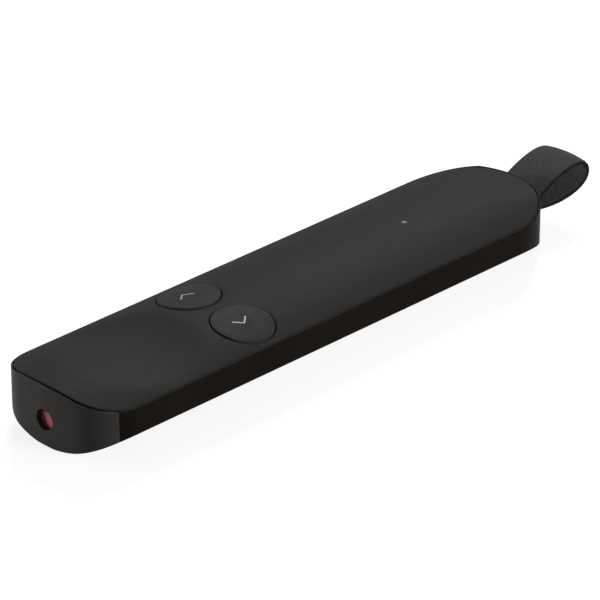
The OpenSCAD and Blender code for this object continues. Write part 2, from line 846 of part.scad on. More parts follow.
module chip_antenna() {
    x = board_x - antenna_w;
    y = (nose_y + shield_y + led_y) / 2;
    color([0.85, 0.85, 0.8])
        box(x - antenna_w / 2, x + antenna_w / 2, y - antenna_l / 2,
            y + antenna_l / 2, board_top, board_top + antenna_h);
}

module status_led() {
    color([0.9, 0.9, 0.85])
        box(-led_w / 2, led_w / 2, led_y - led_l / 2, led_y + led_l / 2,
            board_top, board_top + led_h);
}

// A clear rod from the indicator chip to the cover's surface.
module light_pipe() {
    y = led_y;
    collar_top = crown_under(pipe_collar_r);
    color([0.85, 0.85, 0.85, 0.7]) {
        intersection() {
            rod_z(pipe_r, board_top + led_h, top_z + past, 0, y);
            under_crown();
        }
        rod_z(pipe_collar_r, collar_top - pipe_collar_h, collar_top - slip, 0, y);
    }
}

// The shell of the charging socket, sunk into the board's notch.
module charging_port() {
    color([0.75, 0.76, 0.78]) difference() {
        port_block(0, port_y0, port_y1);
        port_block(port_wall, port_y0 + port_wall, port_y1 + past);
    }
}

// A bar with round sides, drawn in by an even amount.
module port_block(inset, y0, y1) {
    r = port_h / 2 - inset;
    for (side = [-1, 1])
        rod_y(r, y0, y1, side * (port_w - port_h) / 2, receiver_z);
    box(-(port_w - port_h) / 2, (port_w - port_h) / 2, y0, y1, receiver_z - r, receiver_z + r);
}

module charging_tongue() {
    color([0.1, 0.1, 0.1])
        box(-tongue[0] / 2, tongue[0] / 2, port_y0 + port_wall, port_y1 - tongue_set,
            receiver_z - tongue[1] / 2, receiver_z + tongue[1] / 2);
}

// Four pan-head screws that draw the chassis and the board up to the cover.
module frame_screws() {
    head_z = screw_seat_z - screw_head_h;
    cross = [0.65 * screw_head_r, 0.15, 0.45 * screw_head_h];
    color([0.7, 0.7, 0.72]) at_screws() difference() {
        union() {
            rod_z(screw_r - seat_gap, screw_seat_z - eps, screw_tip_z, 0, 0);
            rod_z(screw_head_r, head_z, screw_seat_z, 0, 0);
        }
        for (turn = [0, 90]) rotate([0, 0, turn])
            box(-cross[0], cross[0], -cross[1], cross[1], head_z - eps, head_z + cross[2]);
    }
}

// ---------- receiver bay ----------

// The sleeve that guides the receiver, trimmed to the body's round rear.
module receiver_sleeve() {
    w = bay_w / 2;
    h = bay_h / 2;
    y0 = port_y1 + fit_gap;
    color([0.14, 0.14, 0.15]) intersection() {
        prism(cover_ring + fit_gap, 0, top_z);
        difference() {
            box(-w - sleeve_wall, w + sleeve_wall, y0, rear_y,
                receiver_z - h - sleeve_wall, receiver_z + h + sleeve_wall);
            box(-w, w, y0 - past, rear_y + past, receiver_z - h, receiver_z + h);
        }
    }
}

// Leaf springs on both sides of the bay that press on the plug's shell.
module retaining_springs() {
    face = bay_w / 2;
    bulge = face - plug_w / 2 - 2 * fit_gap - slip;
    arc_r = ((spring_l / 2) ^ 2 + bulge ^ 2) / (2 * bulge);
    y = plug_y0 + plug_l / 2;
    color([0.78, 0.78, 0.8]) for (side = [-1, 1]) mirror([side < 0 ? 1 : 0, 0, 0])
        translate([0, 0, receiver_z - spring_h / 2]) linear_extrude(spring_h) intersection() {
            translate([face - bulge + arc_r, y]) difference() {
                circle(r = arc_r);
                circle(r = arc_r - spring_sheet);
            }
            translate([0, y - spring_l]) square([face, 2 * spring_l]);
        }
}

// ---------- receiver, plug and strap ----------

// The receiver's moulded grip; its rear face is flush with the body.
module receiver_grip() {
    color([0.12, 0.12, 0.12]) difference() {
        intersection() {
            box(-grip_w / 2, grip_w / 2, grip_y0, rear_y,
                receiver_z - grip_h / 2, receiver_z + grip_h / 2);
            prism(0, 0, top_z);
        }
        box(-strap_w / 2 - fit_gap, strap_w / 2 + fit_gap, tail_y0 - fit_gap, rear_y + past,
            strap_z - strap_t - fit_gap / 2, strap_z + strap_t + fit_gap / 2);
        usb_board_room(fit_gap / 2);
        rod_z(strap_pin_r, pin_z0 - seat_gap, receiver_z + grip_h / 2 + past, 0, pin_y);
    }
}

// The folded steel shell of the USB plug, with its two latch windows.
module usb_shell() {
    w = plug_w / 2;
    h = plug_h / 2;
    color([0.78, 0.78, 0.8]) difference() {
        box(-w, w, plug_y0, grip_y0, receiver_z - h, receiver_z + h);
        box(plug_sheet - w, w - plug_sheet, plug_y0 - past, grip_y0 + past,
            receiver_z - h + plug_sheet, receiver_z + h - plug_sheet);
        for (x = [-plug_window_x, plug_window_x])
            box(x - plug_window[0] / 2, x + plug_window[0] / 2, plug_y0 + plug_window_y,
                plug_y0 + plug_window_y + plug_window[1], receiver_z, receiver_z + h + past);
    }
}

// The space of the receiver's board, which ends inside the grip.
module usb_board_room(gap) {
    w = plug_w / 2 - plug_sheet - slip;
    box(-w - gap, w + gap, plug_y0 + plug_sheet, grip_y0 + board_in_grip + gap,
        insert_z - gap, insert_z + insert_h + gap);
}

// The receiver's board: it fills the lower half of the plug and carries the contacts.
module usb_board() {
    color([0.08, 0.1, 0.12]) difference() {
        usb_board_room(0);
        for (x = contact_x)
            box(x - contact_w / 2, x + contact_w / 2, plug_y0 + 3 * plug_sheet, plug_y0 + contact_l,
                insert_z + insert_h - fit_gap, insert_z + insert_h + past);
    }
}

module strap_pin() {
    color([0.7, 0.7, 0.72])
        rod_z(strap_pin_r - seat_gap, pin_z0, receiver_z + grip_h / 2 - fit_gap, 0, pin_y);
}

// A point of a drop-shaped outline: narrow where it starts, full near its end.
function drop_point(t, l, h) =
    [l * (1 - cos(t)) / 2, h / 2 * drop_gain * sin(t) * sin(t / 2) ^ drop_taper];

// That point on the loop, which rises backwards from the body.
function loop_point(i, start, l, h) =
    let (p = drop_point(360 * i / loop_steps, l, h))
    [loop_root_y + (start + p[0]) * cos(loop_tilt) - p[1] * sin(loop_tilt),
        strap_z + (start + p[0]) * sin(loop_tilt) + p[1] * cos(loop_tilt)];

// The webbing: a doubled tail in the grip, and the loop behind the body.
module wrist_strap() {
    reach = (overall_l / 2 - loop_root_y) / cos(loop_tilt);
    split = 3 * strap_t;          // where the two layers part
    // the outer drop is used from where it is as thick as the doubled tail
    first = [for (i = [1 : loop_steps / 4])
        if (drop_point(360 * i / loop_steps, reach, loop_h)[1] > strap_t) i][0];
    color([0.16, 0.16, 0.17]) difference() {
        along_x(0, strap_w) difference() {
            polygon([
                [tail_y0, strap_z + strap_t],
                [tail_y0, strap_z - strap_t],
                [rear_y, strap_z - strap_t],
                for (i = [loop_steps - first : -1 : first]) loop_point(i, 0, reach, loop_h),
                [rear_y, strap_z + strap_t]]);
            polygon([for (i = [0 : loop_steps - 1])
                loop_point(i, split, reach - split - strap_t, loop_h - 2 * strap_t)]);
        }
        rod_z(strap_pin_r + slip, 0, top_z, 0, pin_y);
    }
}

lower_shell();
nose_cap();
top_cover();
back_button();
next_button();
back_plunger();
next_plunger();
back_switch();
next_switch();
laser_window();
laser_barrel();
collimating_lens();
laser_diode();
laser_bracket();
laser_flex();
chassis();
main_board();
battery_cell();
battery_pad();
battery_tabs();
vibration_motor();
touch_sensor();
sensor_ribbon();
ribbon_connector();
radio_shield();
chip_antenna();
status_led();
light_pipe();
charging_port();
charging_tongue();
frame_screws();
receiver_sleeve();
retaining_springs();
receiver_grip();
usb_shell();
usb_board();
strap_pin();
wrist_strap();
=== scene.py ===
"""A handheld presentation clicker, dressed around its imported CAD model.

The cover with its finger dish, the webbing, the prints on the keys and the plug's
contacts are modelled here. The keys get fine tops and the nose cap a lip. The other
pieces keep the CAD shapes, with the sharp edges of the solids rounded as moulding,
turning and folding leave them. Lengths are metres in the frame's axes: +Y runs from
the laser nose to the strap, +Z is up through the cover.
"""

import json
import math

import bmesh
import bpy
import numpy as np
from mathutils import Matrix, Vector
from mathutils.geometry import delaunay_2d_cdt

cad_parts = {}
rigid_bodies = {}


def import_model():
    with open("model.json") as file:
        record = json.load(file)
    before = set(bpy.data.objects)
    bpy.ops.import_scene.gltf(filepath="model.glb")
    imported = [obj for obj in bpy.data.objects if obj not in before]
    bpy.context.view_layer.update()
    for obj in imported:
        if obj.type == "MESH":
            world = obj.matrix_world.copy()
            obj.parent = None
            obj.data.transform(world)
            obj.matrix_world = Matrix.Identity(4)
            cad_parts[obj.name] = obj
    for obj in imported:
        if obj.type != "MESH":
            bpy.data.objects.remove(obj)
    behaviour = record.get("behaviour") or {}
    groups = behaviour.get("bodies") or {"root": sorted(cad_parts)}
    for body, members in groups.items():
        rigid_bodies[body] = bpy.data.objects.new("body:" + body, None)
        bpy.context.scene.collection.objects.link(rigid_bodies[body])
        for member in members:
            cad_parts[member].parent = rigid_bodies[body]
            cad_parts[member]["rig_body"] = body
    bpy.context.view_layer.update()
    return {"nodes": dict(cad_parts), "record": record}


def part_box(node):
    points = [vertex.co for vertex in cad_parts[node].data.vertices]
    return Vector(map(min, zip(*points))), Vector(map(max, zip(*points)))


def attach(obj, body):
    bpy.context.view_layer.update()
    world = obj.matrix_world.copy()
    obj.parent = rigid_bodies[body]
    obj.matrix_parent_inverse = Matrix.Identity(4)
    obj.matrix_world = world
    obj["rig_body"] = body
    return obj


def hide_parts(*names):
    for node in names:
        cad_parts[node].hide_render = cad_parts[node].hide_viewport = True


MM = 0.001

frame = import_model()
nodes = frame["nodes"]


# ---------- camera ----------

IMAGE_SIZE = 600                  # the photograph's width and height, in pixels
CAMERA_AZIMUTH = 45.55            # degrees, 0 looks along +Y
CAMERA_ELEVATION = 27.54
CAMERA_DISTANCE = 0.7981
FOCAL_PIXELS = 4243.4
CAMERA_REACH = (0.05, 20)         # nearest and farthest that it sees
SENSOR = 36.0                     # millimetres
AIM_SEEN_AT = (291.2, 284.6)      # the pixel at which the aim point stands
AIM_Z = 10 * MM                   # height of the aim point


def add_camera():
    """The camera of the photograph, aimed at the middle of the body."""
    lowest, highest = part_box("nose_cap")[0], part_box("lower_shell")[1]
    aim = Vector((0, (lowest.y + highest.y) / 2, AIM_Z))
    turn, rise = math.radians(CAMERA_AZIMUTH), math.radians(CAMERA_ELEVATION)
    back = Vector((math.sin(turn) * math.cos(rise), -math.cos(turn) * math.cos(rise),
                   math.sin(rise)))
    data = bpy.data.cameras.new("camera")
    data.sensor_width = SENSOR
    data.lens = SENSOR * FOCAL_PIXELS / IMAGE_SIZE
    data.shift_x = (IMAGE_SIZE / 2 - AIM_SEEN_AT[0]) / IMAGE_SIZE
    data.shift_y = (AIM_SEEN_AT[1] - IMAGE_SIZE / 2) / IMAGE_SIZE
    data.clip_start, data.clip_end = CAMERA_REACH
    camera = bpy.data.objects.new("camera", data)
    bpy.context.scene.collection.objects.link(camera)
    camera.location = aim + CAMERA_DISTANCE * back
    camera.rotation_mode = "QUATERNION"
    camera.rotation_quaternion = (-back).to_track_quat("-Z", "Y")
    bpy.context.scene.camera = camera


add_camera()


# ---------- materials ----------

MATERIALS = {}                    # every finish by its name
CLOUD = 9 * MM                    # size of the faint clouds in a moulded surface
GLOSS_PATCH = 2.5 * MM            # size of its duller and glossier patches
TRACK_RELIEF = 0.02 * MM          # of a board's copper under its mask


def linear(srgb):
    """A colour of 0 to 255 display values as Blender's linear values."""
    shares = [c / 255 for c in srgb]
    return [s / 12.92 if s <= 0.04045 else ((s + 0.055) / 1.055) ** 2.4 for s in shares]


class Finish:
    """A procedural material: one shader and the nodes that vary it over the surface."""

    def __init__(self, name):
        self.material = MATERIALS[name] = bpy.data.materials.new(name)
        self.material.use_nodes = True
        self.tree = self.material.node_tree
        self.shader = self.tree.nodes["Principled BSDF"]
        self.place = self.tree.nodes.new("ShaderNodeTexCoord").outputs["Object"]
        self.bump_height = None

    def node(self, kind, inputs=None, **settings):
        """A new node with its settings and the constants on its inputs."""
        made = self.tree.nodes.new(kind)
        for name, value in settings.items():
            setattr(made, name, value)
        for name, value in (inputs or {}).items():
            made.inputs[name].default_value = value
        return made

    def link(self, output, socket):
        self.tree.links.new(output, socket)

    def constants(self, **values):
        for name, value in values.items():
            self.shader.inputs[name.replace("_", " ")].default_value = value

    def noise(self, size, detail, stretch=(1, 1, 1)):
        """Noise whose grains are about size metres across."""
        spread = self.node("ShaderNodeMapping", {"Scale": stretch})
        self.link(self.place, spread.inputs["Vector"])
        noise = self.node("ShaderNodeTexNoise", {"Scale": 1 / size, "Detail": detail})
        self.link(spread.outputs["Vector"], noise.inputs["Vector"])
        return noise.outputs["Fac"]

    def ranged(self, value, low, high, start=0.3, end=0.7):
        """value, which runs from start to end, mapped to low to high."""
        span = self.node("ShaderNodeMapRange", {"From Min": start, "From Max": end,
                                                "To Min": low, "To Max": high})
        self.link(value, span.inputs["Value"])
        return span.outputs["Result"]

    def colour(self, first, second, share):
        """The base colour, between two colours by share."""
        mix = self.node("ShaderNodeMix", {"A": (*first, 1), "B": (*second, 1)},
                        data_type="RGBA")
        self.link(share, mix.inputs["Factor"])
        self.link(mix.outputs["Result"], self.shader.inputs["Base Color"])
        return mix

    def roughness(self, value):
        self.link(value, self.shader.inputs["Roughness"])

    def bump(self, height, depth):
        """Adds a relief that is depth metres high."""
        bump = self.node("ShaderNodeBump", {"Strength": 1.0, "Distance": depth})
        self.link(height, bump.inputs["Height"])
        if self.bump_height is not None:
            self.link(self.bump_height, bump.inputs["Normal"])
        self.bump_height = bump.outputs["Normal"]
        self.link(self.bump_height, self.shader.inputs["Normal"])


def shade(colour, factor):
    """A linear colour, made lighter or darker."""
    return [c * factor for c in colour]


def moulded(name, srgb, rough, specular=0.3, grain=0.12 * MM, relief=0.002 * MM,
            mottle=0.08, rough_spread=0.05, tint=None):
    """Moulded plastic: a fine etched grain, faint cloudiness and uneven gloss."""
    made = Finish(name)
    base = linear(srgb)
    other = linear(tint) if tint else shade(base, 1 + mottle)
    made.colour(shade(base, 1 - mottle), other, made.ranged(made.noise(CLOUD, 3), 0, 1))
    made.roughness(made.ranged(made.noise(GLOSS_PATCH, 4), rough - rough_spread,
                               rough + rough_spread))
    made.bump(made.noise(grain, 2), relief)
    made.constants(Specular_IOR_Level=specular)


def metal(name, srgb, rough, stretch=(1, 1, 1), grain=0.25 * MM, relief=0.001 * MM,
          tarnish=0.12, rough_spread=0.06):
    """Plated or turned metal: fine lines, or an even satin where stretch is even."""
    made = Finish(name)
    base = linear(srgb)
    made.colour(shade(base, 1 - tarnish), base, made.ranged(made.noise(4 * MM, 4), 0, 1))
    made.roughness(made.ranged(made.noise(grain, 3, stretch=stretch),
                               rough - rough_spread, rough + rough_spread))
    made.bump(made.noise(grain, 2, stretch=stretch), relief)
    made.constants(Metallic=1.0)


def clear(name, srgb, rough, ior=1.49, cloud=0.1, through=1.0, specular=0.5):
    """Clear acrylic or glass, faintly clouded. through is the share that passes light."""
    made = Finish(name)
    base = linear(srgb)
    made.colour(shade(base, 1 - cloud), base, made.ranged(made.noise(1.5 * MM, 2), 0, 1))
    made.roughness(made.ranged(made.noise(0.6 * MM, 2), rough, rough * 1.6))
    made.constants(Transmission_Weight=through, IOR=ior, Specular_IOR_Level=specular)


def circuit(name, mask_srgb, trace_srgb, pitch):
    """Solder mask over copper: tracks show through as a slightly lighter tone."""
    made = Finish(name)
    mask, trace = linear(mask_srgb), linear(trace_srgb)
    tracks = made.node("ShaderNodeTexVoronoi", {"Scale": 1 / pitch},
                       feature="DISTANCE_TO_EDGE")
    made.link(made.place, tracks.inputs["Vector"])
    share = made.ranged(tracks.outputs["Distance"], 1, 0, 0.02, 0.12)
    made.colour(mask, trace, share)
    made.roughness(made.ranged(made.noise(1.2 * MM, 3), 0.25, 0.4))
    made.bump(share, TRACK_RELIEF)
    made.bump(made.noise(0.15 * MM, 2), 0.001 * MM)


COVER, COVER_WARM = (43, 43, 43), (41, 40, 39)
KEY = (49, 49, 49)
SHELL, SHELL_WARM = (20, 17, 14), (24, 20, 16)
NOSE = (59, 58, 56)
INK = (132, 133, 133)

moulded("cover_soft_touch", COVER, 0.46, 0.006, tint=COVER_WARM, grain=0.1 * MM,
        relief=0.0025 * MM, rough_spread=0.02)
moulded("key_soft_touch", KEY, 0.46, 0.006, grain=0.1 * MM, relief=0.0025 * MM)
moulded("shell_brown_black", SHELL, 0.4, 0.012, tint=SHELL_WARM, grain=0.16 * MM,
        relief=0.004 * MM)
moulded("nose_grey", NOSE, 0.42, 0.01, grain=0.14 * MM)
moulded("inner_plastic", (52, 52, 54), 0.5)
moulded("switch_plastic", (38, 38, 41), 0.45)
moulded("plunger_plastic", (203, 199, 188), 0.4)
moulded("grip_plastic", (27, 24, 20), 0.4, 0.02, grain=0.16 * MM, relief=0.004 * MM)
moulded("connector_plastic", (208, 201, 184), 0.45)
moulded("ceramic", (214, 211, 200), 0.35, grain=0.06 * MM)
moulded("led_white", (238, 238, 226), 0.25, 0.5)
moulded("foam", (42, 42, 43), 0.95, 0.05, grain=0.22 * MM, relief=0.06 * MM, mottle=0.3)
moulded("polyimide", (172, 110, 44), 0.25, 0.5, tint=(188, 126, 58), grain=1.2 * MM,
        relief=0.006 * MM)
moulded("printed_ink", INK, 0.5, 0.2, grain=0.05 * MM)
clear("red_window", (148, 60, 70), 0.28, through=0.1)
clear("lens_glass", (236, 243, 250), 0.02, ior=1.6, cloud=0.02)
clear("clear_pipe", (84, 84, 84), 0.4, through=0.2, specular=0.05)
metal("brass", (202, 174, 112), 0.28, stretch=(1, 14, 1))
metal("diode_gold", (214, 188, 137), 0.22)
metal("nickel", (178, 177, 172), 0.32, stretch=(1, 1, 12))
metal("steel", (168, 169, 172), 0.3, stretch=(1, 10, 1))
metal("shield_tin", (188, 190, 193), 0.34, grain=0.5 * MM)
metal("battery_foil", (188, 189, 193), 0.32, stretch=(1, 0.2, 1), grain=0.6 * MM,
      relief=0.006 * MM)
circuit("board_green", (30, 92, 60), (44, 118, 76), 2.2 * MM)
circuit("receiver_board_black", (29, 31, 36), (38, 42, 48), 1.6 * MM)

BARE_METALS = [MATERIALS[name] for name in ("steel", "nickel", "diode_gold", "brass")]

YARN_DARK, YARN_LIGHT = (52, 52, 55), (69, 69, 71)
PAINTED_EDGE_SHADE = (30, 29, 29)         # painted shade: the webbing's edges darker, as where little light reaches them
EDGE_SHADE_START = 4.95                # where it begins, in millimetres from the middle
EDGE_SHADE_FADE = 0.15                 # over which it sets in, in millimetres


def webbing():
    """Woven polyester: uneven threads, painted shade on the edges and a dusty sheen."""
    made = Finish("webbing")
    along = made.node("ShaderNodeUVMap", uv_map="weave").outputs["UV"]
    thread = made.node("ShaderNodeTexWave", {"Scale": 2.6, "Distortion": 1.2, "Detail": 2,
                                             "Detail Scale": 3},
                       wave_type="BANDS", bands_direction="X")
    made.link(along, thread.inputs["Vector"])
    threads = made.colour(linear(YARN_DARK), linear(YARN_LIGHT),
                          made.ranged(made.noise(0.35 * MM, 3), 0, 1))
    place = made.node("ShaderNodeSeparateXYZ")
    made.link(along, place.inputs["Vector"])
    from_middle = made.node("ShaderNodeMath", operation="ABSOLUTE")
    made.link(place.outputs["Y"], from_middle.inputs[0])
    # painted shade: near the edges the colour goes darker, standing in for the shade that falls
    # there
    edge_shade = made.colour((0, 0, 0), linear(PAINTED_EDGE_SHADE), made.ranged(
        from_middle.outputs[0], 0, 1, EDGE_SHADE_START, EDGE_SHADE_START + EDGE_SHADE_FADE))
    made.link(threads.outputs["Result"], edge_shade.inputs["A"])
    made.roughness(made.ranged(made.noise(0.8 * MM, 2), 0.75, 0.9))
    made.bump(thread.outputs["Fac"], 0.012 * MM)
    made.bump(made.noise(0.09 * MM, 2), 0.006 * MM)
    made.constants(Specular_IOR_Level=0.01, Sheen_Weight=0.04, Sheen_Roughness=0.5)


webbing()


# ---------- mesh helpers ----------

SMOOTH_BELOW = math.radians(38)   # edges that turn less than this shade smoothly
SHARP_ABOVE = math.radians(30)    # edges that turn more than this get rounded
FLAT_BELOW = math.radians(1)      # facets that turn less than this are one face
SAME_PLACE = 0.001 * MM           # points nearer than this are one


def add_piece(name, mesh, slot, body, replaced=(), material=None):
    """A piece of the object that rides on a body and stands for CAD nodes."""
    for face in mesh.polygons:
        face.use_smooth = True
    mesh.set_sharp_from_angle(angle=SMOOTH_BELOW)
    mesh.materials.clear()
    mesh.materials.append(MATERIALS[material or slot])
    piece = bpy.data.objects.new(name, mesh)
    bpy.context.scene.collection.objects.link(piece)
    normals = piece.modifiers.new("even_normals", "WEIGHTED_NORMAL")
    normals.keep_sharp = True
    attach(piece, body)
    if replaced:
        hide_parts(*replaced)
    return piece


def merged(node):
    """The node's solid without doubled points, as a bmesh."""
    solid = bmesh.new()
    solid.from_mesh(nodes[node].data)
    bmesh.ops.remove_doubles(solid, verts=solid.verts, dist=SAME_PLACE)
    return solid


def cleaned(node):
    """The node's solid with its flat faces whole, as a bmesh."""
    solid = merged(node)
    bmesh.ops.dissolve_limit(solid, angle_limit=FLAT_BELOW, verts=solid.verts,
                             edges=solid.edges)
    return solid


def round_edges(solid, radius, segments=3, wanted=lambda middle: True):
    """Rounds the sharp edges whose middle is wanted."""
    sharp = [e for e in solid.edges
             if len(e.link_faces) == 2 and e.calc_face_angle() > SHARP_ABOVE
             and wanted((e.verts[0].co + e.verts[1].co) / 2)]
    bmesh.ops.bevel(solid, geom=sharp, offset=radius, segments=segments, profile=0.5,
                    affect="EDGES", clamp_overlap=False)


def to_mesh(solid, name):
    """The bmesh as a mesh; the bmesh is used up."""
    mesh = bpy.data.meshes.new(name)
    solid.to_mesh(mesh)
    solid.free()
    return mesh


def body_of(node):
    return nodes[node]["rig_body"]


def slot_of(node):
    return next(part["material_slot"] for part in frame["record"]["subparts"]
                if part["node"] == node)


def add_copy(node, name, solid):
    """A worked copy of the node's own shape, as the piece that replaces it."""
    return add_piece(name, to_mesh(solid, name), slot_of(node), body_of(node), [node])


def rounded_piece(node, name, radius):
    """The node's own shape with rounded edges."""
    solid = cleaned(node)
    round_edges(solid, radius)
    return add_copy(node, name, solid)


def piece_without_slivers(node, name):
    """The node's own shape without the thin triangles of its faceting."""
    solid = merged(node)
    bmesh.ops.dissolve_degenerate(solid, dist=SAME_PLACE, edges=solid.edges)
    return add_copy(node, name, solid)


# ---------- the cover ----------

shell_low, shell_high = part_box("lower_shell")
HALF_W = shell_high.x
NOSE_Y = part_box("nose_cap")[0].y
NOSE_SEAM_Y, REAR_Y = shell_low.y, shell_high.y
TOP_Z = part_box("top_cover")[1].z

# as in the part's source
CROWN_RISE = 2.46 * MM
CORNER_R = 9.1 * MM
NOSE_BULGE = 2.14 * MM
REAR_FALL = 0.8 * MM
REAR_FALL_L = 27 * MM
RIM_T = 0.4 * MM
COVER_GAP = 0.06 * MM
COVER_WALL = 1.3 * MM
COVER_EDGE_H = 1 * MM
DISH_R = 13.4 * MM
DISH_DEPTH = 1.1 * MM
DISH_Y = NOSE_Y + 21.6 * MM
KEY_GAP = 0.24 * MM
PIPE_R = 0.55 * MM

CROWN_R = (HALF_W ** 2 + CROWN_RISE ** 2) / (2 * CROWN_RISE)
FALL_Y = REAR_Y - REAR_FALL_L
FALL_R = (REAR_FALL_L ** 2 + REAR_FALL ** 2) / (2 * REAR_FALL)
REAR_C = REAR_Y - HALF_W
NOSE_ARC_R = (HALF_W ** 2 + NOSE_BULGE ** 2) / (2 * NOSE_BULGE)
NOSE_ARC_C = NOSE_Y + NOSE_ARC_R
CORNER_X = HALF_W - CORNER_R
CORNER_Y = NOSE_ARC_C - math.sqrt((NOSE_ARC_R - CORNER_R) ** 2 - CORNER_X ** 2)
LEDGE_Z = TOP_Z - CROWN_RISE - COVER_EDGE_H

CREASE_BLEND = 0.8 * MM           # how softly the rear's fall meets the crown
DISH_BLEND = 0.32 * MM            # how softly the dish meets the crown
COVER_EDGE_R = 0.18 * MM          # rounding of the cover's upper edge
HOLE_EDGE_R = 0.07 * MM           # and of its holes' upper edges
EDGE_SEGMENTS = 4                 # in such a rounding
UNDERCUT = 0.3 * MM               # of the cover's edge behind the nose cap's lip
UNDERCUT_H = 0.4 * MM             # the height over which it sets in
UNDERCUT_END = 1 * MM             # it has faded out this far behind the nose's seam
UNDERCUT_FADE = 1.5 * MM          # the length over which it fades
UNDERCUT_LEFT = 0.02              # share of it that stays along the sides and the rear
COVER_GRID = 0.9 * MM             # size of the cover's triangles
CLEAR_OF_EDGE = 0.6               # share of the grid that inner points keep from an edge
KEY_HOLE_STEP = 0.5 * MM          # between the points round a key's hole
PIPE_HOLE_STEP = 0.2 * MM
FITTINGS_BELOW = 0.05 * MM        # the hooks and bosses are what lies this far below the ledge


def crown(x, y):
    """Height of the cover's crown, without the dish."""
    high = TOP_Z - CROWN_R + np.sqrt(CROWN_R ** 2 - x ** 2)
    drop = FALL_R - np.sqrt(FALL_R ** 2 - np.maximum(0, y - FALL_Y) ** 2)
    falling = TOP_Z - drop
    blend = np.minimum(drop, CREASE_BLEND) + 1e-9    # which is never zero
    near = np.maximum(blend - np.abs(high - falling), 0)
    return np.minimum(high, falling) - near ** 2 / (4 * blend)


def dish(x, y):
    """Depth of the finger dish below the crown."""
    depth = DISH_DEPTH * (1 - (x ** 2 + (y - DISH_Y) ** 2) / DISH_R ** 2)
    near = np.maximum(DISH_BLEND - np.abs(depth), 0)
    return np.maximum(depth, 0) + near ** 2 / (4 * DISH_BLEND)


def cover_top(x, y):
    return crown(x, y) - dish(x, y)


def cover_underside(x, y):
    return np.maximum(cover_top(x, y) - COVER_WALL, LEDGE_Z)


def outline(step):
    """Points and outward normals of the body's plan, from the nose round to the nose."""
    corner_turn = math.atan2(CORNER_X, NOSE_ARC_C - CORNER_Y)
    arcs = [(0, NOSE_ARC_C, NOSE_ARC_R, -math.pi / 2, -math.pi / 2 + corner_turn),
            (CORNER_X, CORNER_Y, CORNER_R, -math.pi / 2 + corner_turn, 0),
            (0, REAR_C, HALF_W, 0, math.pi / 2)]
    half = []
    for x, y, r, start, end in arcs:
        count = math.ceil(r * (end - start) / step)
        for turn in np.linspace(start, end, count + 1):
            normal = (math.cos(turn), math.sin(turn))
            half.append((x + r * normal[0], y + r * normal[1], *normal))
        if end == 0:              # the corner has turned into the straight side
            side = np.linspace(CORNER_Y, REAR_C, math.ceil((REAR_C - CORNER_Y) / step) + 1)
            half += [(HALF_W, place, 1, 0) for place in side[1:-1]]
    kept = [p for i, p in enumerate(half)
            if i == 0 or math.dist(p[:2], half[i - 1][:2]) > step / 10]
    return np.array(kept + [(-x, y, -nx, ny) for x, y, nx, ny in kept[-2:0:-1]])


def circle(x, y, r, step):
    """Points and inward normals of a round hole, so that it is treated as an outline."""
    turns = np.linspace(0, 2 * math.pi, math.ceil(2 * math.pi * r / step), endpoint=False)
    return np.array([(x + r * math.cos(t), y + r * math.sin(t), -math.cos(t), -math.sin(t))
                     for t in turns])


def join_rings(solid, rings):
    """Faces between each closed ring of vertices and the next."""
    for first, second in zip(rings, rings[1:]):
        for i, vert in enumerate(first):
            after = (i + 1) % len(first)
            solid.faces.new((vert, first[after], second[after], second[i]))


def plate(edges, insets, edge_radii, height, under, grid, undercut=None):
    """A closed plate with rounded upper edges round an outline and its holes.

    edges are loops of points and normals, the outline first. insets says how far each
    one is drawn in. height and under give the plate's upper and lower face. undercut,
    where there is one, says how far the outline is drawn in below its top.
    """
    solid = bmesh.new()
    turns = np.linspace(0, math.pi / 2, EDGE_SEGMENTS + 1)
    inner_loops, bottoms = [], []
    for loop, inset, edge_radius in zip(edges, insets, edge_radii):
        drawn = [(loop[:, :2] - (inset + edge_radius * (1 - math.cos(t))) * loop[:, 2:],
                  edge_radius * (1 - math.sin(t))) for t in turns]
        low = drawn[0][0]
        if undercut and loop is edges[0]:
            low = low - undercut(loop[:, 1])[:, None] * loop[:, 2:]
            drawn.insert(0, (low, edge_radius + UNDERCUT_H))
        rings = [[solid.verts.new((*p, under(*p))) for p in low]]
        for points, drop in drawn:
            tops = height(points[:, 0], points[:, 1]) - drop
            rings.append([solid.verts.new((*p, z)) for p, z in zip(points, tops)])
        join_rings(solid, rings)
        inner_loops.append((drawn[-1][0], rings[-1]))
        bottoms.append((low, rings[0]))
    fill(solid, inner_loops, height, grid)
    fill(solid, bottoms, under, grid)
    bmesh.ops.recalc_face_normals(solid, faces=solid.faces)
    return solid


def inside(points, loop):
    """Whether each point lies inside a closed loop."""
    found = np.zeros(len(points), bool)
    previous = np.roll(loop, 1, axis=0)
    for (x1, y1), (x2, y2) in zip(loop, previous):
        crosses = (y1 > points[:, 1]) != (y2 > points[:, 1])
        if crosses.any():
            at = (x2 - x1) * (points[:, 1] - y1) / (y2 - y1 + 1e-30) + x1
            found ^= crosses & (points[:, 0] < at)
    return found


